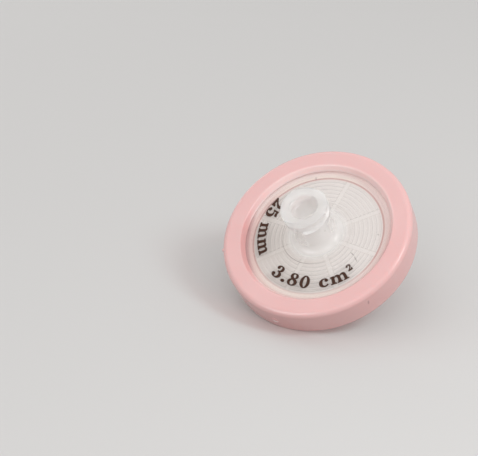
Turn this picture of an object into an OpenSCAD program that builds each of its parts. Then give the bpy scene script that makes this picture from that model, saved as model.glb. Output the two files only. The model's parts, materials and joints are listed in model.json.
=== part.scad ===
// Disposable syringe filter with a nylon membrane: two clear moulded housings pinch the membrane,
// and an opaque ring moulded over their rims holds them together. The inlet is a lock socket with
// a two-start thread, the outlet is a slip tip. Each piece is drawn about the filter's own axis,
// inlet up, with zero at the ring's mid-height; at_rest() then lays it down as it comes to rest,
// on the ring's lower edge and on the rim of the outlet tip. Millimetres.

/* [Ring] */
// Height of the ring
ring_h = 5.3; // [4.4:0.1:8]
// Radial thickness of the ring outside the housing rims
ring_wall = 2.1; // [1.2:0.1:2.6]
// Radius lost to mould draft from the inlet side to the outlet side
ring_draft = 0.2; // [0:0.05:0.4]
// Rounding of the ring's outer edge on the inlet side
ring_inlet_edge = 0.9; // [0.3:0.05:1.2]
// Rounding of the ring's outer edge on the outlet side
ring_outlet_edge = 0.55; // [0.3:0.05:1.2]
// Distance that the ring's lips reach in over the housing rims
lip_cover = 1.65; // [1.2:0.05:2.2]
// Distance that a lip slopes inwards below the window's edge
lip_run = 0.6; // [0.3:0.05:0.9]
// Height of the straight foot of the lip, where it meets the housing
lip_foot = 0.15; // [0.05:0.05:0.3]
// Rounding of the window's edge
lip_edge = 0.3; // [0.1:0.05:0.4]
// Diameter of the gate mark on the ring's wall
gate_d = 1.2; // [0.6:0.1:2]
// How far the gate mark stands out from the wall
gate_h = 0.08; // [0.04:0.02:0.2]
// Height of the gate mark above the ring's mid-height
gate_z = -0.43; // [-1:0.01:1]
// Angle of the gate mark from the +X side
gate_turn = -93; // [-180:1:180]
// Radius of the bead of flash on the ring's inlet edge
flash_r = 0.35; // [0.15:0.05:0.5]
// How far that bead stands out from the wall
flash_h = 0.22; // [0.04:0.02:0.3]
// Angle of that bead from the +X side
flash_turn = -152.5; // [-180:0.5:180]

/* [Membrane] */
// Diameter of the membrane disc
membrane_d = 25; // [20:0.1:30]
// Thickness of the membrane
membrane_t = 0.13; // [0.08:0.01:0.25]
// Clearance between the membrane's edge and its pocket
membrane_gap = 0.1; // [0.05:0.01:0.2]
// Width of the membrane's edge that the two housings pinch
pinch_w = 1.5; // [1:0.05:2.5]
// Height of the membrane's lower face above the ring's mid-height
membrane_z = 0.9; // [0.5:0.05:1]

/* [Housing plates] */
// Width of the rims where the two housings meet, outside the membrane
seal_w = 1.3; // [0.8:0.05:2]
// Thickness of the inlet plate at its rim
inlet_rim_t = 0.8; // [0.7:0.05:1.1]
// Thickness of the outlet plate at its rim
outlet_rim_t = 1.9; // [1.5:0.05:2.3]
// Rise of each plate's conical outer face from the rim to the boss
cone_rise = 0.4; // [0.1:0.05:0.8]
// Diameter of the flat boss around each tube
boss_d = 11.8; // [10.4:0.1:14]
// Height of the step at the edge of the boss
boss_step = 0.12; // [0.05:0.01:0.3]
// Spacing of the ring ribs that face the membrane
rib_pitch = 0.735; // [0.6:0.005:1]
// Width of the groove between two ring ribs
groove_w = 0.4; // [0.3:0.01:0.5]
// Depth of the grooves and of the radial channels
groove_h = 0.32; // [0.2:0.01:0.4]
// Diameter around the feed hole that stays free of ribs, at the least
hub_d = 7.2; // [5:0.1:9]
// Number of radial channels, an even number
channel_count = 8; // [4:2:12]
// Width of a radial channel
channel_w = 0.8; // [0.5:0.05:1.2]
// Angle of the first radial channel from the +X side
channel_turn = 42; // [0:0.5:45]

/* [Inlet] */
// Diameter of the inlet tube at its foot
inlet_foot_d = 6.6; // [5.4:0.05:8]
// Radius of the fillet at the foot of the inlet tube
inlet_fillet = 1.2; // [0.4:0.05:1.6]
// Diameter of the socket at its mouth
socket_d = 4.3; // [4.2:0.01:4.4]
// Depth of the socket's taper
socket_depth = 7.6; // [6:0.1:7.9]
// Bevel at the socket's mouth
socket_bevel = 0.25; // [0.1:0.05:0.5]
// Diameter of the feed hole from the socket to the grooves
feed_d = 2; // [1:0.1:3]
// Length of the feed hole
feed_len = 1.2; // [0.6:0.1:3]
// Diameter over the lock thread
lock_d = 7.8; // [7.4:0.05:8]
// Height of the lock thread above the inlet tube
thread_h = 0.72; // [0.5:0.02:0.9]
// Length of the threaded collar
lock_len = 2.88; // [2:0.02:3.6]
// Lead of the two-start thread
lock_lead = 4; // [3:0.05:6]
// Axial width of the groove's upper flank
flank_up = 0.34; // [0.2:0.02:0.5]
// Axial width of the groove's lower flank
flank_down = 0.55; // [0.3:0.02:0.7]
// Angle at which the first groove leaves the mouth, from the +X side
lock_turn = 93; // [0:1:180]

/* [Outlet] */
// Length of the outlet tip below the ring
outlet_reach = 9; // [7:0.1:12]
// Diameter of the outlet at its tip
tip_d = 4; // [3.9:0.01:4.1]
// Rounding of the rim of the tip
tip_edge = 0.2; // [0.1:0.05:0.4]
// Radius of the fillet at the foot of the outlet tube
outlet_fillet = 0.8; // [0.3:0.05:1.4]
// Diameter of the outlet's bore at its tip
drain_d = 2.3; // [1.2:0.1:2.6]
// Change in diameter per length of both tapered fittings
luer_taper = 0.06; // [0.05:0.005:0.07]

/* [Hidden] */
$fn = 120;
ring_colour = [0.93, 0.74, 0.73];
clear_colour = [0.86, 0.85, 0.83, 0.6];
membrane_colour = [0.95, 0.94, 0.92];

far = 60; // longer than any piece, for cutting tools
bite = 0.05; // how far a cutting tool passes the face that it cuts
snug = 0.0002; // how far a rounding passes the sides that it touches, so that they cross cleanly
root_depth = 0.4; // how far a tube reaches down into its plate
drain_draft = 0.15; // radius that the outlet's bore loses towards the membrane
// From the membrane outwards: its pocket, the housing rims round it and the ring round those.
face_z = ring_h / 2;
pocket_r = membrane_d / 2 + membrane_gap;
rim_r = pocket_r + seal_w;
top_r = rim_r + ring_wall;
bottom_r = top_r - ring_draft;
gate_r = bottom_r + ring_draft * (face_z + gate_z) / ring_h;
foot_r = rim_r - lip_cover;
window_r = foot_r + lip_run;
membrane_top = membrane_z + membrane_t;
inlet_rim_z = membrane_z + inlet_rim_t;
outlet_rim_z = membrane_z - outlet_rim_t;
socket_end = membrane_top + groove_h + feed_len;
mouth_z = socket_end + socket_depth;
tip_z = -face_z - outlet_reach;
flow_r = membrane_d / 2 - pinch_w;
groove_count = floor((flow_r - hub_d / 2) / rib_pitch);
boss_r = boss_d / 2;
inlet_boss_z = inlet_rim_z + cone_rise + boss_step;
outlet_boss_z = outlet_rim_z - cone_rise - boss_step;
half_taper = luer_taper / 2;
outlet_foot_r = tip_d / 2 + half_taper * (outlet_boss_z - tip_z);
inlet_root_r = lock_d / 2 - thread_h;
socket_mouth_r = socket_d / 2 + socket_bevel;

// The filter leans until one straight line touches the ring's lower edge and the rim of the tip.
ring_roll = [bottom_r - ring_outlet_edge, ring_outlet_edge - face_z]; // centre of its lower rounding
tip_roll = [tip_d / 2 - tip_edge, tip_z + tip_edge]; // centre of the tip's rounding
span = ring_roll - tip_roll;
lean = atan2(span[1], span[0]) - asin((ring_outlet_edge - tip_edge) / norm(span));
lift = ring_roll[0] * sin(lean) - ring_roll[1] * cos(lean) + ring_outlet_edge;
// The ring's widest points to the front and back, which set the middle of the whole part.
front_roll = [top_r - ring_inlet_edge, face_z - ring_inlet_edge];
front_y = -front_roll[0] * cos(lean) - front_roll[1] * sin(lean) - ring_inlet_edge;
back_y = ring_roll[0] * cos(lean) - ring_roll[1] * sin(lean) + ring_outlet_edge;

module at_rest() {
    translate([0, -(front_y + back_y) / 2, lift]) rotate([lean, 0, 0]) children();
}

// The sliver between a corner p, with its neighbours a and b, and an arc of radius r that touches
// both sides. Taken from an outward corner it rounds it, added to an inward one it fills it. It
// passes the two sides a little, so that no edge lies along another.
module corner(p, a, b, r) {
    u = (a - p) / norm(a - p);
    v = (b - p) / norm(b - p);
    half_angle = acos(u * v) / 2;
    middle = (u + v) / norm(u + v);
    centre = p + middle * (r - snug) / sin(half_angle);
    touch_u = p + u * (r - snug) / tan(half_angle);
    touch_v = p + v * (r - snug) / tan(half_angle);
    out_u = (touch_u - centre) / norm(touch_u - centre) * bite / 2;
    out_v = (touch_v - centre) / norm(touch_v - centre) * bite / 2;
    difference() {
        polygon([
            touch_u - out_u, touch_u + out_u, p - middle * bite / 2 / sin(half_angle),
            touch_v + out_v, touch_v - out_v
        ]);
        translate(centre) circle(r);
    }
}

// Half section of one lip of the ring's window: the space that it leaves open, from the housing's
// face at z0 up to the ring's face at z1, drawn upwards.
module window_section(z0, z1) {
    foot = [foot_r, z0];
    knee = [foot_r, z0 + lip_foot];
    brow = [window_r, z1];
    above = [window_r + lip_edge * 2, z1];
    polygon([[0, z0], foot, knee, brow, [window_r, z1 + bite], [0, z1 + bite]]);
    corner(brow, knee, above, lip_edge);
}

module ring_section() {
    top = [top_r, face_z];
    bottom = [bottom_r, -face_z];
    difference() {
        polygon([[0, -face_z], bottom, top, [0, face_z]]);
        corner(top, bottom, [0, face_z], ring_inlet_edge);
        corner(bottom, top, [0, -face_z], ring_outlet_edge);
        translate([0, outlet_rim_z]) square([rim_r, inlet_rim_z - outlet_rim_z]);
        window_section(inlet_rim_z, face_z);
        mirror([0, 1]) window_section(-outlet_rim_z, face_z);
    }
}

// Low round mark where the ring's gate was cut off.
module gate_mark() {
    translate([0, 0, gate_z]) rotate([0, 90, 0]) cylinder(d = gate_d, h = gate_r + gate_h);
}

// Bead of flash at the parting line, just below the rounded inlet edge.
module flash_bead() {
    translate([top_r - flash_r + flash_h, 0, face_z - ring_inlet_edge]) sphere(r = flash_r);
}

module overmould_ring() {
    color(ring_colour) union() {
        rotate_extrude() ring_section();
        rotate(flash_turn) flash_bead();
        rotate(gate_turn) difference() {
            gate_mark();
            cylinder(r = top_r - ring_wall / 2, h = far, center = true);
        }
    }
}

module membrane() {
    color(membrane_colour) translate([0, 0, membrane_z]) cylinder(d = membrane_d, h = membrane_t);
}

// A plate drawn outwards from its inner face at z0: rim, cone and stepped boss.
module plate(z0, rim_z, boss_z) {
    rotate_extrude() polygon([
        [0, z0], [rim_r, z0], [rim_r, rim_z], [foot_r, rim_z],
        [boss_r, boss_z - boss_step], [boss_r, boss_z], [0, boss_z]
    ]);
}

// Grooves and channels that spread the liquid over the membrane, cut upwards from z = 0.
module flow_field() {
    for (i = [0 : groove_count - 1]) {
        outer = flow_r - i * rib_pitch;
        rotate_extrude() translate([outer - groove_w, -bite]) square([groove_w, groove_h + bite]);
    }
    inner = flow_r - groove_count * rib_pitch;
    translate([0, 0, -bite]) cylinder(r = inner, h = groove_h + bite);
    translate([0, 0, -bite]) intersection() {
        cylinder(r = flow_r - groove_w / 2, h = groove_h + bite);
        for (i = [0 : channel_count / 2 - 1])
            rotate(channel_turn + i * 360 / channel_count)
                translate([-far / 2, -channel_w / 2, 0]) cube([far, channel_w, groove_h + bite]);
    }
}

// A bar bent round the axis from angle a0 to a1. section(a) gives its outline at angle a as
// [radius, z] points, in the same number at every angle.
module bent_bar(a0, a1, section) {
    steps = ceil((a1 - a0) / 7.5);
    n = len(section(a0));
    ring = [for (i = [0 : steps]) let (a = a0 + (a1 - a0) * i / steps)
        for (p = section(a)) [p[0] * cos(a), p[0] * sin(a), p[1]]];
    sides = [for (i = [0 : steps - 1]) for (j = [0 : n - 1]) let (k = (j + 1) % n)
        each [[i * n + j, i * n + k, (i + 1) * n + k], [i * n + j, (i + 1) * n + k, (i + 1) * n + j]]];
    ends = [[for (j = [n - 1 : -1 : 0]) j], [for (j = [0 : n - 1]) steps * n + j]];
    polyhedron(points = ring, faces = concat(sides, ends));
}

// Lock thread: a collar with two V-grooves that wind down from the mouth, right-handed. Each
// ridge under a groove starts at the mould's parting line, so the collar is bare before it.
module lock_thread() {
    crest_r = lock_d / 2;
    vee_r = inlet_root_r + 0.06; // the bottom of the groove stays just outside the tube
    past_r = crest_r + 0.4;
    inside_r = (socket_mouth_r + min(inlet_root_r, inlet_foot_d / 2)) / 2; // within the tube's wall
    start = -170; // parting line, from the angle where the groove leaves the mouth
    lead_in = 0.4; // the ridge is this much shorter where it starts
    foot_slope = 0.28; // the lower end of the collar rises this much per radius
    up = flank_up / (crest_r - vee_r);
    down = flank_down / (crest_r - vee_r);
    below = mouth_z - lock_len - 0.6;
    depth = function (a) mouth_z + lock_lead * a / 360;
    groove = function (a) [
        [vee_r, depth(a)],
        [past_r, depth(a) - down * (past_r - vee_r)],
        [past_r, depth(a) + up * (past_r - vee_r)]
    ];
    bare = function (a) [
        [inside_r, below],
        [past_r, below],
        [past_r, depth(a) + up * (past_r - vee_r)],
        [inside_r, depth(a) + up * (inside_r - vee_r)]
    ];
    foot = function (a) let (
        z = mouth_z - lock_len + lead_in * (1 - (a - start) / 90)
    ) [
        [inside_r, below],
        [past_r, below],
        [past_r, z + foot_slope * (past_r - inlet_root_r)],
        [inside_r, z + foot_slope * (inside_r - inlet_root_r)]
    ];
    difference() {
        rotate_extrude() polygon([
            [inside_r, mouth_z - lock_len],
            [inlet_root_r, mouth_z - lock_len],
            [crest_r, mouth_z - lock_len + foot_slope * (crest_r - inlet_root_r)],
            [crest_r, mouth_z],
            [inside_r, mouth_z]
        ]);
        for (k = [0, 180]) rotate(lock_turn + k) {
            bent_bar(start - 4, 96, groove);
            bent_bar(start - 94, start, bare);
            bent_bar(start - 2, start + 98, foot);
        }
    }
}

// A solid tube that stands on a plate, drawn outwards, with a fillet at its foot and its end
// rounded by the radius edge. It reaches down into the plate, so that the two are one moulding.
module tube(foot_z, tube_r, end_z, end_r, fillet, edge = 0) {
    foot = [tube_r, foot_z];
    end = [end_r, end_z];
    rotate_extrude() difference() {
        union() {
            polygon([[0, foot_z - root_depth], [tube_r + fillet, foot_z - root_depth],
                [tube_r + fillet, foot_z], foot, end, [0, end_z]]);
            corner(foot, end, [far, foot_z], fillet);
        }
        if (edge > 0) corner(end, foot, [0, end_z], edge);
    }
}

module inlet_housing() {
    color(clear_colour) difference() {
        union() {
            plate(membrane_z, inlet_rim_z, inlet_boss_z);
            tube(inlet_boss_z, inlet_foot_d / 2, mouth_z, inlet_root_r, inlet_fillet);
            lock_thread();
        }
        translate([0, 0, membrane_z - bite]) cylinder(r = pocket_r, h = membrane_t + bite);
        translate([0, 0, membrane_top]) flow_field();
        rotate_extrude() polygon([
            [0, membrane_z - bite],
            [feed_d / 2, membrane_z - bite],
            [feed_d / 2 + 0.1, socket_end],
            [socket_d / 2 - half_taper * socket_depth, socket_end],
            [socket_d / 2 - half_taper * socket_bevel, mouth_z - socket_bevel],
            [socket_mouth_r, mouth_z],
            [socket_mouth_r, mouth_z + bite],
            [0, mouth_z + bite]
        ]);
    }
}

// Drawn outwards like the inlet housing, then turned over.
module outlet_housing() {
    inner_z = -membrane_z;
    rim_z = -outlet_rim_z;
    boss_z = -outlet_boss_z;
    end_z = -tip_z;
    color(clear_colour) mirror([0, 0, 1]) difference() {
        union() {
            plate(inner_z, rim_z, boss_z);
            tube(boss_z, outlet_foot_r, end_z, tip_d / 2, outlet_fillet, tip_edge);
        }
        translate([0, 0, inner_z]) flow_field();
        rotate_extrude() polygon([
            [0, inner_z - bite],
            [drain_d / 2 - drain_draft, inner_z - bite],
            [drain_d / 2, end_z + bite],
            [0, end_z + bite]
        ]);
    }
}

at_rest() inlet_housing();
at_rest() membrane();
at_rest() outlet_housing();
at_rest() overmould_ring();
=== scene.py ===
# A disposable syringe filter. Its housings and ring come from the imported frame, and this script
# gives them their finishes and adds the membrane's surface, the print, the light and the camera.
import json
import math

import bmesh
import bpy
from mathutils import Matrix, Vector


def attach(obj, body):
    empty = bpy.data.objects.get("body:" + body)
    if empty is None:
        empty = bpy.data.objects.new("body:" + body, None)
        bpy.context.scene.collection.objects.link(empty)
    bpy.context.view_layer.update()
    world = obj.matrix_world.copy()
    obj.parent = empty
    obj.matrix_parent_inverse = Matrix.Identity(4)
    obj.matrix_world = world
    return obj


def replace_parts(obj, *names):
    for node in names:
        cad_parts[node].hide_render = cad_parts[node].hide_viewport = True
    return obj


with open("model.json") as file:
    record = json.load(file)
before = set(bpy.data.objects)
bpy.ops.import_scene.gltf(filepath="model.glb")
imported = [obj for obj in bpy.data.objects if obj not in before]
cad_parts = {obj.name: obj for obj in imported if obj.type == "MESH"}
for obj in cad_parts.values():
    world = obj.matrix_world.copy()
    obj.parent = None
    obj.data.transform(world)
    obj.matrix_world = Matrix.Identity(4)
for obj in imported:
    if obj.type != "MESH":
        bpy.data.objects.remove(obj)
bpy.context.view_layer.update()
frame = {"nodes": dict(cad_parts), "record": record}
mm = 0.001
print("frame loaded:", ", ".join(sorted(frame["nodes"])))

# Pieces are drawn about the filter's own axis in millimetres, inlet up, with zero at the ring's
# mid-height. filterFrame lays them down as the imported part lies, which its inlet mount gives.
filterSizes = {
    "mouthAboveMiddle": 10.15,
    "membraneTop": 1.03,
    "membraneWidth": 25.0,
    "membraneThickness": 0.13,
    "flowWidth": 22.0,        # the part of the membrane that filters
    "ribCount": 10,           # rings of ribs on the inner face of the inlet plate
    "ribPitch": 0.735,
    "grooveWidth": 0.4,
    "channelCount": 8,        # straight channels that cross the ribs
    "channelWidth": 0.8,
    "channelTurn": 42,
    "plateRimRadius": 12.25,  # the inlet plate's conical outer face, from the foot of the ring's lip ...
    "plateRimZ": 1.7,
    "plateBossRadius": 5.9,   # ... to the boss round the tube
    "plateBossZ": 2.1,
    "socketRadius": 2.3,
}

inletMount = next(m for m in frame["record"]["mounts"] if m["name"] == "luer_inlet")
ownUp = Vector(inletMount["axis"]).normalized()
ownRight = Vector((1, 0, 0))
middlePlace = Vector(inletMount["pos_m"]) - ownUp * filterSizes["mouthAboveMiddle"] * mm
leanAngle = math.atan2(-ownUp.y, ownUp.z)
turned = Matrix((ownRight, ownUp.cross(ownRight), ownUp)).transposed().to_4x4()
filterFrame = Matrix.Translation(middlePlace) @ turned @ Matrix.Scale(mm, 4)


def linearColour(hexCode):
    # an sRGB hex value as the linear colour that a socket takes
    channels = [int(hexCode[i:i + 2], 16) / 255 for i in (1, 3, 5)]
    return [c / 12.92 if c <= 0.04045 else ((c + 0.055) / 1.055) ** 2.4 for c in channels] + [1.0]


def addNode(tree, kind, inputs=None, output=0, **settings):
    # adds a node with its settings, values and links, and gives back one of its outputs
    node = tree.nodes.new(kind)
    for key, value in settings.items():
        setattr(node, key, value)
    for key, value in (inputs or {}).items():
        if isinstance(value, bpy.types.NodeSocket):
            tree.links.new(value, node.inputs[key])
        else:
            node.inputs[key].default_value = linearColour(value) if isinstance(value, str) else value
    return node.outputs[output] if node.outputs else None


def newMaterial(name):
    material = bpy.data.materials.new(name)
    material.use_nodes = True
    material.node_tree.nodes.clear()
    return material, material.node_tree


def ownPoint(tree):
    # the shaded point in the filter's own millimetres
    return addNode(tree, "ShaderNodeMapping", {
        "Vector": addNode(tree, "ShaderNodeTexCoord", output="Object"),
        "Location": middlePlace, "Rotation": (leanAngle, 0, 0), "Scale": (mm, mm, mm),
    }, vector_type="TEXTURE")


def ownRadius(tree, point):
    # its distance from the filter's axis
    flat = addNode(tree, "ShaderNodeVectorMath", {0: point, 1: (1, 1, 0)}, operation="MULTIPLY")
    return addNode(tree, "ShaderNodeVectorMath", {0: flat}, "Value", operation="LENGTH")


def towards(tree, point, turn):
    # how far it lies towards one side, which is given in degrees round the axis
    way = (math.cos(math.radians(turn)), math.sin(math.radians(turn)), 0)
    return addNode(tree, "ShaderNodeVectorMath", {0: point, 1: way}, "Value", operation="DOT_PRODUCT")


def distanceFrom(tree, value, middle):
    # how far a value is from its middle, either way
    away = addNode(tree, "ShaderNodeMath", {0: value, 1: middle}, operation="SUBTRACT")
    return addNode(tree, "ShaderNodeMath", {0: away}, operation="ABSOLUTE")


def fade(tree, *steps):
    # Product of smooth steps. Each is a value, where it starts to change and where it has changed,
    # and what it gives before and after, if that isn't 0 and 1. A ready share may stand for a step.
    share = 1.0
    for step in steps:
        if isinstance(step, tuple):
            step = addNode(
                tree, "ShaderNodeMapRange", dict(enumerate(step)), interpolation_type="SMOOTHSTEP",
            )
        share = addNode(tree, "ShaderNodeMath", {0: share, 1: step}, operation="MULTIPLY")
    return share


def paint(tree, shade, tint, *steps, how="MIX"):
    # lays a tint over a shade, as far as the steps let it
    layers = {0: fade(tree, *steps), 6: shade, 7: tint}
    return addNode(tree, "ShaderNodeMix", layers, 2, data_type="RGBA", blend_type=how)


def lineAlong(tree, value, middle, halfWidth, core=0.4):
    # 1 where the value is at middle, down to 0 at halfWidth from it, and full over its core
    return fade(tree, (distanceFrom(tree, value, middle), halfWidth * core, halfWidth, 1.0, 0.0))


def addMarks(tree, point, shade, marks):
    # small marks, each an ellipsoid in which the colour changes, fading over its outer half: where,
    # turn round the axis and tilt in degrees, half sizes outwards, sideways and along the axis,
    # colour and strength
    for place, turn, tilt, halfSizes, tint, strength in marks.values():
        local = addNode(tree, "ShaderNodeMapping", {
            "Vector": point, "Location": place, "Scale": halfSizes,
            "Rotation": (math.radians(tilt), 0, math.radians(turn)),
        }, vector_type="TEXTURE")
        away = addNode(tree, "ShaderNodeVectorMath", {0: local}, "Value", operation="LENGTH")
        shade = paint(tree, shade, tint, (away, 0.5, 1.0, strength, 0.0))
    return shade


def noisyFace(tree, point, size, depth, detail=3.0):
    # the normal of a face that is uneven by that depth, over that size
    unevenness = addNode(tree, "ShaderNodeTexNoise", {"Vector": point, "Scale": 1 / size, "Detail": detail})
    return addNode(tree, "ShaderNodeBump", {"Height": unevenness, "Distance": depth * mm, "Strength": 1.0})


def finishPiece(mesh, name, material):
    mesh.transform(filterFrame)
    for face in mesh.faces:
        face.smooth = False
    built = bpy.data.meshes.new(name)
    mesh.to_mesh(built)
    mesh.free()
    built.materials.append(material)
    piece = bpy.data.objects.new(name, built)
    bpy.context.scene.collection.objects.link(piece)
    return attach(piece, "root")


# The ring. Ends are distances outwards from the foot of its lip, over which a tint fades out. A turn
# is a side, in degrees round the axis, and a reach is how far towards it a tint starts and is full.
ringFinish = {
    "pink": "#f2c6c4",
    "deepPink": "#edbcba",      # in slow clouds, as the melt flowed
    "flowSize": 8.0,
    "lipGlowPink": "#f8dcda",       # painted glow at the thin foot of the lip, where light comes through,
    "lipEnds": (0.06, 0.16),
    "glowPink": "#ffdcd9",      # and a little painted glow on the lip's slope on the far side
    "glowEnds": (0.5, 1.0),
    "glowTurn": 95,
    "glowReach": (0.0, 9.0),
    "shadePink": "#e6adab",     # the same slope on the side that gets little light
    "shadeEnds": (0.5, 0.7),
    "shadeTurn": 210,
    "shadeReach": (10.0, 12.2),
    "roughness": 0.26,
    "refraction": 1.49,
    "grainSize": 0.25,          # spark-eroded mould texture, drawn coarser than it is
    "grainDepth": 0.003,
    "softShare": 0.2,           # share of light that creeps under the surface,
    "softDepth": 0.5,           # how far, and how much of that in red, green and blue
    "softColours": (1.0, 0.45, 0.4),
    "throughTint": "#d2b0ae",   # what one face leaves of a lamp's light
}

ringMarks = {
    "nick": ((13.29, -8.73, 0.63), -33.3, -10, (0.5, 0.2, 0.65), "#b07f80", 0.5),
    # a small pale patch on the ring's wall
    "paleWallPatch": ((-0.65, -15.89, -0.51), -92.4, 8, (0.6, 0.7, 0.3), "#ffeeed", 0.9),
}


def mouldedPolypropylene():
    # opaque polypropylene, injection moulded: a soft waxy sheen, a faint grain from the mould and
    # slow changes of shade where the melt flowed
    finish = ringFinish
    material, tree = newMaterial("mouldedPolypropylenePink")
    point = ownPoint(tree)
    fromFoot = addNode(tree, "ShaderNodeMath", {
        0: ownRadius(tree, point), 1: filterSizes["plateRimRadius"],
    }, operation="SUBTRACT")
    flow = addNode(tree, "ShaderNodeTexNoise", {
        "Vector": point, "Scale": 1 / finish["flowSize"], "Detail": 2.0,
    })
    farSide = towards(tree, point, finish["glowTurn"])
    dimSide = towards(tree, point, finish["shadeTurn"])
    shade = paint(tree, finish["pink"], finish["deepPink"], flow)
    # painted light and shade on the lip: glow on the far slope and at the thin foot, shade on the dim side
    shade = paint(
        tree, shade, finish["glowPink"],
        (fromFoot, *finish["glowEnds"], 1.0, 0.0), (farSide, *finish["glowReach"]),
    )
    shade = paint(tree, shade, finish["lipGlowPink"], (fromFoot, *finish["lipEnds"], 1.0, 0.0))
    shade = paint(
        tree, shade, finish["shadePink"],
        (fromFoot, *finish["shadeEnds"], 1.0, 0.0), (dimSide, *finish["shadeReach"]),
    )
    shader = addNode(tree, "ShaderNodeBsdfPrincipled", {
        "Base Color": addMarks(tree, point, shade, ringMarks),
        "Roughness": finish["roughness"],
        "IOR": finish["refraction"],
        "Subsurface Weight": finish["softShare"],
        "Subsurface Radius": finish["softColours"],
        "Subsurface Scale": finish["softDepth"] * mm,
        "Normal": noisyFace(tree, point, finish["grainSize"], finish["grainDepth"]),
    })
    # a little light comes through, so that the housings aren't black under the lip
    through = addNode(tree, "ShaderNodeBsdfTransparent", {"Color": finish["throughTint"]})
    lampRay = addNode(tree, "ShaderNodeLightPath", output="Is Shadow Ray")
    both = addNode(tree, "ShaderNodeMixShader", {0: lampRay, 1: shader, 2: through})
    addNode(tree, "ShaderNodeOutputMaterial", {"Surface": both})
    return material


# Both housings. A pair is for the thick tubes and the thin plates. The solid share is how much of a
# face shows at all: the ribs lie wet on the membrane, so they hardly show, and the tubes are seen
# through without much bending.
housingFinish = {
    "milk": "#f8f5f3",
    "thickMilk": "#faf9f8",
    "tubeRadius": 4.2,        # they are thick up to here ...
    "plateRadius": 5.6,       # ... and thin from here outwards
    "clear": (0.56, 0.94),    # share of light that passes clear
    "roughness": (0.14, 0.12),  # of the polished outer faces
    "solid": (0.66, 1.0),
    "socketSolid": 0.55,
    "socketEdge": 0.2,        # how softly the socket's wall begins
    "ribReach": 0.42,         # from the middle of the membrane to the farthest face of a rib
    "ribEdge": 0.04,
    "ribRoughness": 0.6,
    "ribSolid": 0.12,
    "refraction": 1.49,
    "skyTint": "#ffffff",     # what one face leaves of the light from all round,
    "thickTint": "#f2f1f0",   # of a lamp's light in the thick tubes
    "thinTint": "#ffffff",    # and in the thin plates
    "rippleSize": 1.6,        # slow ripples of a moulded face
    "rippleDepth": 0.0003,
    "witness": "#978d89",     # painted shade of the step round the boss where the mould's insert met its plate
    "witnessWidth": 0.11,
    "witnessShadeTurn": 215,       # side on which that step is in shade,
    "witnessShadeReach": (-2.0, 5.0),
    "witnessFaint": 0.15,     # and how much of the painted shade is left on the other
}

housingMarks = {
    "scratchStart": ((7.45, -1.88, 1.95), -26.3, 0, (0.6, 0.13, 0.3), "#6f6865", 0.85),
    "scratchEnd": ((8.35, -2.55, 1.9), -41.4, 0, (0.8, 0.13, 0.3), "#6f6865", 0.8),
    "tick": ((-5.06, 9.77, 1.77), 117, 0, (0.42, 0.1, 0.3), "#6d6462", 0.8),
    "plateSpeck": ((9.95, 2.76, 1.85), 0, 0, (0.14, 0.14, 0.3), "#5a5350", 0.9),
    "tubeSpeck": ((3.09, -1.01, 5.68), 0, 0, (0.4, 0.13, 0.13), "#5a5350", 0.9),
}


def clearPolypropylene():
    # natural polypropylene, injection moulded: clear where it is thin, milky where it is thick
    finish, sizes = housingFinish, filterSizes
    material, tree = newMaterial("naturalPolypropyleneClear")
    point = ownPoint(tree)
    radius = ownRadius(tree, point)
    height = addNode(tree, "ShaderNodeSeparateXYZ", {"Vector": point}, "Z")
    outwards = (radius, finish["tubeRadius"], finish["plateRadius"])
    thin = fade(tree, outwards)

    colour = paint(tree, finish["thickMilk"], finish["milk"], thin)
    # the witness line, with painted shade that makes it strong on one side only
    colour = paint(
        tree, colour, finish["witness"],
        lineAlong(tree, radius, sizes["plateBossRadius"], finish["witnessWidth"] / 2),
        (towards(tree, point, finish["witnessShadeTurn"]), *finish["witnessShadeReach"], finish["witnessFaint"], 1.0),
    )
    colour = addMarks(tree, point, colour, housingMarks)

    # how solid it looks and how rough it is: outer faces, the wall of the socket, and the ribs
    socket = fade(
        tree, (radius, sizes["socketRadius"], sizes["socketRadius"] + finish["socketEdge"], 1.0, 0.0),
        (height, sizes["plateRimZ"], sizes["plateBossZ"]),
    )
    outerSolid = addNode(tree, "ShaderNodeMapRange", {
        "Value": socket, 3: fade(tree, (*outwards, *finish["solid"])), 4: finish["socketSolid"],
    })
    fromMembrane = distanceFrom(tree, height, sizes["membraneTop"] - sizes["membraneThickness"] / 2)
    ribFaces = {0: fromMembrane, 1: finish["ribReach"], 2: finish["ribReach"] + finish["ribEdge"]}
    solid = addNode(tree, "ShaderNodeMapRange", {**ribFaces, 3: finish["ribSolid"], 4: outerSolid})
    roughness = addNode(tree, "ShaderNodeMapRange", {
        **ribFaces, 3: finish["ribRoughness"], 4: fade(tree, (*outwards, *finish["roughness"])),
    })
    mixed = addNode(tree, "ShaderNodeBsdfPrincipled", {
        "Base Color": colour,
        "Roughness": roughness,
        "Alpha": solid,
        "IOR": finish["refraction"],
        "Transmission Weight": fade(tree, (*outwards, *finish["clear"])),
        "Normal": noisyFace(tree, point, finish["rippleSize"], finish["rippleDepth"]),
    })

    # light from all round passes straight to the membrane and back, so that it isn't dark, and
    # only a lamp's light is held back by the thick tubes, which cast a soft shade
    lampTint = paint(tree, finish["thickTint"], finish["thinTint"], thin)
    for ray, tint in (("Is Diffuse Ray", finish["skyTint"]), ("Is Shadow Ray", lampTint)):
        passing = addNode(tree, "ShaderNodeBsdfTransparent", {"Color": tint})
        isRay = addNode(tree, "ShaderNodeLightPath", output=ray)
        mixed = addNode(tree, "ShaderNodeMixShader", {0: isRay, 1: mixed, 2: passing})
    addNode(tree, "ShaderNodeOutputMaterial", {"Surface": mixed})
    return material


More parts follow.
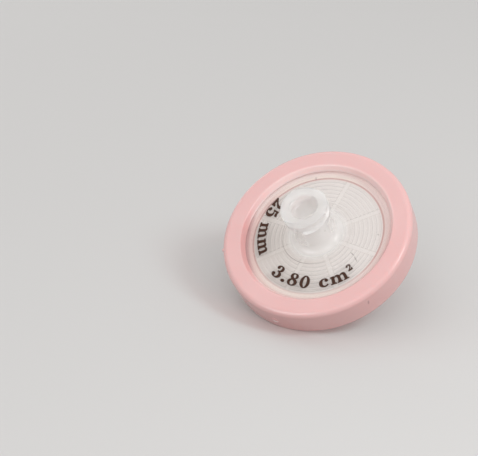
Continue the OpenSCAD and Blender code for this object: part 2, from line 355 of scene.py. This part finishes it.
# The membrane. Ends are distances outwards from the edge of the part that filters, over which a tint
# comes in, and a turn and a reach are as on the ring.
membraneFinish = {
    "white": "#e9e4e1",
    "ribContactShade": "#e5dfdc",       # painted shade where the ribs press on it, as they show through the plate,
    "ribEdgeShade": "#e0d9d5",       # with a thin painted dark line along both sides of a rib
    "channelEdgeShade": "#dbd4cf",   # and of a channel
    "ribShadeSoft": 0.05,          # how softly that painted shade ends, and half the width of its lines
    "ribShadeLine": 0.09,
    "dimTint": "#f0eeec",       # times this on the side where the ring's lip keeps light off
    "dimTurn": 215,
    "dimReach": (-5.0, 8.0),
    "cream": "#f4e6de",         # where the two plates pinch it,
    "creamEnds": (-0.1, 0.1),
    "rosy": "#f1dfdb",          # and painted light where the ring's colour shines on it: on one side
    "rosyReach": (-8.0, -3.0),
    "rosier": "#eccbc5",        # and more on the other
    "rosierReach": (6.0, 11.5),
    "rosierTurn": 195,
    "rim": "#f3d6d0",           # painted light next to the ring, where its pink shines on it,
    # and painted lighter on the far side
    "farRimLight": "#fff0ec",
    "rimEnds": (0.5, 1.0),
    "rimReach": (-6.0, 2.0),
    "deepRim": "#d9abaa",       # where the ring's lip throws its colour and its shade on it
    "deepRimTurn": 205,
    "deepRimReach": (10.0, 12.0),
    "bitten": "#d2a8a2",        # line that the sealing edge presses into it,
    "bittenWidth": 0.42,
    "bittenReach": (3.0, 11.0),
    "bittenFaint": 0.35,        # which is faint on the near side
    "nearTurn": 285,
    "roughness": 0.85,
    "refraction": 1.5,
    "poreSize": 0.12,           # far finer on the real one
    "poreDepth": 0.01,
    "seatGap": 0.02,            # keeps its faces off those of the plates
    "segments": 160,
}


def paintRibShade(tree, point, radius, shade):
    # painted shade: the plate's ribs, and the radial channels that cross them, as they show through the
    # plate
    finish, sizes = membraneFinish, filterSizes
    soft, line, pitch = finish["ribShadeSoft"], finish["ribShadeLine"], sizes["ribPitch"]
    outer = sizes["flowWidth"] / 2
    inner = outer - sizes["ribCount"] * pitch
    fieldSoft = pitch / 10
    field = fade(
        tree, (radius, inner - fieldSoft, inner + fieldSoft),
        (radius, outer - 2 * fieldSoft, outer, 1.0, 0.0),
    )

    # distance from the middle of a channel: the angle is folded to the nearest one
    ahead = towards(tree, point, sizes["channelTurn"])
    aside = towards(tree, point, sizes["channelTurn"] + 90)
    fromChannel = addNode(tree, "ShaderNodeMath", {0: aside, 1: ahead}, operation="ARCTAN2")
    folding = (("PINGPONG", math.pi / sizes["channelCount"]), ("SINE", 0.0), ("MULTIPLY", radius))
    for operation, second in folding:
        fromChannel = addNode(tree, "ShaderNodeMath", {0: fromChannel, 1: second}, operation=operation)
    channelHalf = sizes["channelWidth"] / 2
    ribbed = fade(tree, (fromChannel, channelHalf - soft, channelHalf + soft), field)

    # distance from the middle of a rib, in pitches: the first groove starts at the edge
    start = outer - sizes["grooveWidth"] / 2
    along = addNode(tree, "ShaderNodeMapRange", {"Value": radius, 1: start, 2: start - pitch}, clamp=False)
    along = addNode(tree, "ShaderNodeMath", {0: along}, operation="FRACT")
    fromRib = distanceFrom(tree, along, 0.5)
    ribHalf = (1 - sizes["grooveWidth"] / pitch) / 2
    onRib = (fromRib, ribHalf - soft, ribHalf + soft, 1.0, 0.0)
    shade = paint(tree, shade, finish["ribContactShade"], onRib, ribbed)
    shade = paint(tree, shade, finish["ribEdgeShade"], lineAlong(tree, fromRib, ribHalf, line), ribbed)
    return paint(tree, shade, finish["channelEdgeShade"], lineAlong(tree, fromChannel, channelHalf, line), field)


def castNylon():
    # phase-inversion cast nylon: matt white, with a fine felt-like tooth
    finish = membraneFinish
    material, tree = newMaterial("castNylonMembrane")
    point = ownPoint(tree)
    radius = ownRadius(tree, point)
    edge = filterSizes["flowWidth"] / 2
    fromEdge = addNode(tree, "ShaderNodeMath", {0: radius, 1: edge}, operation="SUBTRACT")
    rosySide = towards(tree, point, finish["rosierTurn"])
    nearSide = towards(tree, point, finish["nearTurn"])
    dimSide = towards(tree, point, finish["dimTurn"])
    deepSide = towards(tree, point, finish["deepRimTurn"])

    shade = paintRibShade(tree, point, radius, finish["white"])
    shade = paint(tree, shade, finish["dimTint"], (dimSide, *finish["dimReach"]), how="MULTIPLY")
    # painted light and shade from the ring on the pinched band: its pink, lighter far side, darker where
    # its lip shades
    pinched = paint(tree, finish["rosy"], finish["cream"], (rosySide, *finish["rosyReach"]))
    pinched = paint(tree, pinched, finish["rosier"], (rosySide, *finish["rosierReach"]))
    rim = paint(tree, finish["farRimLight"], finish["rim"], (nearSide, *finish["rimReach"]))
    rim = paint(tree, rim, finish["deepRim"], (deepSide, *finish["deepRimReach"]))
    pinched = paint(tree, pinched, rim, (fromEdge, *finish["rimEnds"]))
    shade = paint(tree, shade, pinched, (fromEdge, *finish["creamEnds"]))
    shade = paint(
        tree, shade, finish["bitten"], lineAlong(tree, radius, edge, finish["bittenWidth"] / 2),
        (nearSide, *finish["bittenReach"], 1.0, finish["bittenFaint"]),
    )
    shader = addNode(tree, "ShaderNodeBsdfPrincipled", {
        "Base Color": shade,
        "Roughness": finish["roughness"],
        "IOR": finish["refraction"],
        "Normal": noisyFace(tree, point, finish["poreSize"], finish["poreDepth"], detail=4.0),
    })
    addNode(tree, "ShaderNodeOutputMaterial", {"Surface": shader})
    return material


def buildMembrane():
    thickness = filterSizes["membraneThickness"] - 2 * membraneFinish["seatGap"]
    middle = filterSizes["membraneTop"] - filterSizes["membraneThickness"] / 2
    radius = filterSizes["membraneWidth"] / 2
    disc = bmesh.new()
    bmesh.ops.create_cone(
        disc, cap_ends=True, segments=membraneFinish["segments"], radius1=radius, radius2=radius,
        depth=thickness, matrix=Matrix.Translation((0, 0, middle)),
    )
    piece = finishPiece(disc, "membraneDisc", castNylon())
    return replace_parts(piece, "membrane")


# Each character is its width and its outlines, on a height of 100. A point is x, y and, where the
# outline turns sharply, 1.
inkGlyphs = {
    "0": (64, [
        [(32, 100), (54, 84), (61, 50), (54, 16), (32, -2), (10, 16), (3, 50), (10, 84)],
        [(32, 93), (24, 82), (20, 50), (24, 18), (32, 5), (40, 18), (44, 50), (40, 82)],
    ]),
    "2": (62, [[
        (5, 0, 1), (5, 9, 1), (23, 31), (37, 52), (41, 72), (37, 88), (28, 93), (19, 88, 1), (23, 76),
        (13, 65), (3, 76), (10, 92), (30, 100), (51, 93), (59, 74), (50, 51), (35, 34), (22, 20, 1),
        (43, 20), (51, 32, 1), (58, 32, 1), (56, 0, 1),
    ]]),
    "3": (62, [[
        (19, 88, 1), (23, 77), (13, 66), (3, 77), (10, 93), (30, 100), (50, 94), (56, 77), (50, 61),
        (39, 53, 1), (54, 45), (60, 28), (51, 6), (29, -2), (8, 5), (2, 19), (12, 30), (23, 19),
        (19, 8, 1), (28, 5), (38, 11), (42, 27), (36, 44), (24, 48, 1), (24, 56, 1), (34, 60),
        (38, 76), (35, 89), (28, 94),
    ]]),
    "5": (62, [[
        (12, 99, 1), (30, 96), (46, 99, 1), (55, 102, 1), (50, 82, 1), (36, 79), (20, 82, 1), (18, 61, 1),
        (32, 67), (53, 59), (60, 34), (51, 8), (28, -2), (8, 5), (2, 18), (12, 29), (23, 18), (19, 8, 1),
        (28, 5), (38, 13), (42, 33), (37, 53), (26, 58), (16, 55), (13, 50, 1), (8, 50, 1),
    ]]),
    "8": (64, [
        [(32, 100), (52, 94), (58, 77), (52, 62), (43, 54, 1), (56, 44), (61, 26), (52, 6), (32, -2),
         (11, 6), (3, 26), (8, 43), (21, 52, 1), (10, 62), (6, 77), (12, 94)],
        [(32, 94), (24, 90), (22, 79), (30, 66), (38, 59, 1), (42, 66), (43, 78), (40, 90)],
        [(25, 48, 1), (20, 38), (18, 25), (23, 10), (32, 4), (41, 9), (45, 22), (38, 37)],
    ]),
    ".": (26, [[(13, 20), (24, 9), (13, -2), (2, 9)]]),
    "m": (104, [[
        (1, 0, 1), (1, 8, 1), (8, 9, 1), (8, 55, 1), (1, 57, 1), (1, 64, 1), (24, 67, 1), (24, 56, 1),
        (32, 65), (44, 69), (54, 64), (59, 54, 1), (68, 65), (80, 69), (91, 63), (96, 46, 1), (96, 9, 1),
        (103, 8, 1), (103, 0, 1), (74, 0, 1), (74, 8, 1), (80, 9, 1), (80, 44), (77, 55), (71, 57),
        (64, 53), (60, 46, 1), (60, 9, 1), (66, 8, 1), (66, 0, 1), (38, 0, 1), (38, 8, 1), (44, 9, 1),
        (44, 44), (41, 55), (35, 57), (28, 53), (24, 46, 1), (24, 9, 1), (30, 8, 1), (30, 0, 1),
    ]]),
    "c": (56, [[
        (54, 15, 1), (45, 3), (30, -2), (10, 7), (2, 33), (11, 59), (33, 69), (49, 63), (54, 51),
        (45, 41), (35, 50), (38, 61, 1), (32, 63), (23, 55), (20, 34), (24, 14), (36, 7), (49, 19, 1),
    ]]),
}

printSettings = {
    # name, text, its middle in degrees round the axis, and what is added between characters
    "lines": [
        ("widthPrint", "25 mm", 190, 0.2),
        ("areaPrint", "3.80 cm^", 287, 0.34),
    ],
    "raised": {"^": "2"},    # a sign for a raised character, how large that is,
    "raisedSize": 0.55,
    "raisedBy": 48,          # and how high it stands, in the outlines' units
    "wordSpace": 30,         # in the same units
    "height": 2.15,          # of a digit
    "widen": 1.28,           # the letters are broad
    "baseRadius": 10.75,     # of the circle that the letters stand on, tops towards the middle
    "centreShift": (0.34, 0.61),  # the pad printed a little off centre
    "lift": 0.004,
    "thickness": 0.012,
    "inkSpread": 0.045,      # how far the ink runs beyond an outline
    "curveSteps": 5,         # of an outline, from point to point
    "mergeDistance": 0.0005,
    "inkColour": "#43281b",
    "inkGloss": 0.25,        # half of a plastic's
    "inkRoughness": (0.4, 0.65),
    "patchSize": 1 / 6,      # of what is rougher and what is smoother
}


def padInk():
    # pad-printing ink: dark brown, matt, thin enough to show its edge only
    inks = printSettings
    material, tree = newMaterial("padPrintInk")
    point = ownPoint(tree)
    patch = addNode(tree, "ShaderNodeTexNoise", {
        "Vector": point, "Scale": 1 / inks["patchSize"], "Detail": 2.0,
    })
    smoothest, roughest = inks["inkRoughness"]
    shader = addNode(tree, "ShaderNodeBsdfPrincipled", {
        "Base Color": inks["inkColour"],
        "Roughness": addNode(tree, "ShaderNodeMapRange", {"Value": patch, 3: smoothest, 4: roughest}),
        "Specular IOR Level": inks["inkGloss"],
    })
    addNode(tree, "ShaderNodeOutputMaterial", {"Surface": shader})
    return material


def glyphMesh(character, scale):
    # one character as a flat filled mesh that stands on y = 0
    outline = bpy.data.curves.new("glyph", "CURVE")
    outline.dimensions = "2D"
    outline.fill_mode = "BOTH"
    outline.resolution_u = printSettings["curveSteps"]
    outline.offset = printSettings["inkSpread"]
    for points in inkGlyphs[character][1]:
        spline = outline.splines.new("BEZIER")
        spline.bezier_points.add(len(points) - 1)
        spline.use_cyclic_u = True
        for knot, point in zip(spline.bezier_points, points):
            knot.co = (point[0] * printSettings["widen"] * scale, point[1] * scale, 0)
            handle = "VECTOR" if len(point) == 3 else "AUTO"
            knot.handle_left_type = knot.handle_right_type = handle
    holder = bpy.data.objects.new("glyph", outline)
    bpy.context.scene.collection.objects.link(holder)
    bpy.context.view_layer.update()
    flat = bpy.data.meshes.new_from_object(holder.evaluated_get(bpy.context.evaluated_depsgraph_get()))
    bpy.data.objects.remove(holder)
    bpy.data.curves.remove(outline)
    return flat


def setLine(text, tracking):
    # the line as a flat mesh that runs from x = 0, and its length
    settings = printSettings
    unit = settings["height"] / 100
    letters = bmesh.new()
    cursor = 0.0
    for character in text:
        if character == " ":
            cursor += settings["wordSpace"] * unit * settings["widen"] + tracking
            continue
        isRaised = character in settings["raised"]
        glyph = settings["raised"][character] if isRaised else character
        scale = unit * settings["raisedSize"] if isRaised else unit
        rise = unit * settings["raisedBy"] if isRaised else 0.0
        flat = glyphMesh(glyph, scale)
        flat.transform(Matrix.Translation((cursor, rise, 0)))
        letters.from_mesh(flat)
        bpy.data.meshes.remove(flat)
        cursor += inkGlyphs[glyph][0] * scale * settings["widen"] + tracking
    bmesh.ops.remove_doubles(letters, verts=letters.verts, dist=settings["mergeDistance"])
    return letters, cursor - tracking


def printOnPlate(name, text, middleAngle, tracking, material):
    # the line runs anticlockwise round the print's circle, centred on middleAngle, and lies on the
    # plate's cone
    letters, length = setLine(text, tracking)
    # the flat faces look up, so what is drawn upwards from them faces outwards all round
    top = bmesh.ops.extrude_face_region(letters, geom=letters.faces[:])
    raised = [v for v in top["geom"] if isinstance(v, bmesh.types.BMVert)]
    bmesh.ops.translate(letters, verts=raised, vec=(0, 0, printSettings["thickness"]))
    rise = filterSizes["plateBossZ"] - filterSizes["plateRimZ"]
    slope = rise / (filterSizes["plateRimRadius"] - filterSizes["plateBossRadius"])
    middleRadius = printSettings["baseRadius"] - printSettings["height"] / 2
    shiftX, shiftY = printSettings["centreShift"]
    for vert in letters.verts:
        angle = math.radians(middleAngle) + (vert.co.x - length / 2) / middleRadius
        radius = printSettings["baseRadius"] - vert.co.y
        x = shiftX + radius * math.cos(angle)
        y = shiftY + radius * math.sin(angle)
        plateZ = filterSizes["plateRimZ"] + (filterSizes["plateRimRadius"] - math.hypot(x, y)) * slope
        vert.co = (x, y, plateZ + printSettings["lift"] + vert.co.z)
    return finishPiece(letters, name, material)


cameraSettings = {
    "azimuth": 31.457,     # round the filter, from the side that it leans towards
    "elevation": 26.9,
    "distance": 465.4,
    "aim": (-24.8, 15.1, -0.19),
    "focalLength": 201.8,
    "sensorWidth": 36,
    "clip": (10, 5000),
}

studioSettings = {
    "glow": "#f2f1f0",     # of the whole room
    "glowStrength": 0.74,
    "paper": "#d6d5d4",
    "paperBounce": "#a9a7a6",
    "paperRoughness": 0.8,
    "paperHalfWidth": 1500,
    # name, turn from the camera, elevation, distance, size, watts, whether it only makes glints
    "lamps": [
        ("keySoftbox", 56, 46, 330, 110, 0.3, False),
        ("frontSoftbox", -6, 36, 330, 200, 0.17, False),
        ("backSoftbox", -145, 58, 330, 220, 0.06, False),
        ("rimSoftbox", -150, 14, 330, 110, 0.06, False),
        ("edgeStrip", -50, 20, 330, 230, 0.5, True),
    ],
}


def awayFrom(azimuth, elevation):
    # unit vector towards something at that azimuth and elevation
    a, e = math.radians(azimuth), math.radians(elevation)
    return Vector((math.sin(a) * math.cos(e), -math.cos(a) * math.cos(e), math.sin(e)))


def buildCamera():
    settings = cameraSettings
    lens = bpy.data.cameras.new("camera")
    lens.sensor_width = settings["sensorWidth"]
    lens.lens = settings["focalLength"]
    lens.clip_start, lens.clip_end = (c * mm for c in settings["clip"])
    camera = bpy.data.objects.new("camera", lens)
    bpy.context.scene.collection.objects.link(camera)
    back = awayFrom(settings["azimuth"], settings["elevation"])
    camera.location = (Vector(settings["aim"]) + back * settings["distance"]) * mm
    camera.rotation_euler = back.to_track_quat("Z", "Y").to_euler()
    bpy.context.scene.camera = camera


def buildLamps():
    for name, turn, elevation, distance, size, watts, glintsOnly in studioSettings["lamps"]:
        lamp = bpy.data.lights.new(name, "AREA")
        lamp.shape = "DISK"
        lamp.size = size * mm
        lamp.energy = watts
        holder = bpy.data.objects.new(name, lamp)
        bpy.context.scene.collection.objects.link(holder)
        away = awayFrom(cameraSettings["azimuth"] + turn, elevation)
        holder.location = away * distance * mm
        holder.rotation_euler = away.to_track_quat("Z", "Y").to_euler()
        holder.visible_diffuse = not glintsOnly
        holder.visible_transmission = not glintsOnly


def buildWorld():
    world = bpy.data.worlds.new("studio")
    world.use_nodes = True
    tree = world.node_tree
    tree.nodes.clear()
    glow = addNode(tree, "ShaderNodeBackground", {
        "Color": studioSettings["glow"], "Strength": studioSettings["glowStrength"],
    })
    addNode(tree, "ShaderNodeOutputWorld", {"Surface": glow})
    bpy.context.scene.world = world


def buildFloor():
    # pale paper, which throws less light back up at the ring's wall than it shows
    material, tree = newMaterial("palePaperSweep")
    bounce = addNode(tree, "ShaderNodeLightPath", output="Is Diffuse Ray")
    shader = addNode(tree, "ShaderNodeBsdfPrincipled", {
        "Base Color": paint(tree, studioSettings["paper"], studioSettings["paperBounce"], bounce),
        "Roughness": studioSettings["paperRoughness"],
    })
    addNode(tree, "ShaderNodeOutputMaterial", {"Surface": shader})
    sheet = bmesh.new()
    bmesh.ops.create_grid(sheet, x_segments=1, y_segments=1, size=studioSettings["paperHalfWidth"] * mm)
    built = bpy.data.meshes.new("floor")
    sheet.to_mesh(built)
    sheet.free()
    built.materials.append(material)
    floor = bpy.data.objects.new("floor", built)
    bpy.context.scene.collection.objects.link(floor)


buildCamera()
buildLamps()
buildWorld()
buildFloor()
bpy.context.scene.view_settings.view_transform = "Standard"
print("studio ready")

clear = clearPolypropylene()
frame["nodes"]["inlet_housing"].data.materials[0] = clear
frame["nodes"]["outlet_housing"].data.materials[0] = clear
frame["nodes"]["overmould_ring"].data.materials[0] = mouldedPolypropylene()
buildMembrane()
print("housings, ring and membrane finished")

ink = padInk()
for line in printSettings["lines"]:
    printOnPlate(*line, ink)
print("print laid on the inlet plate")
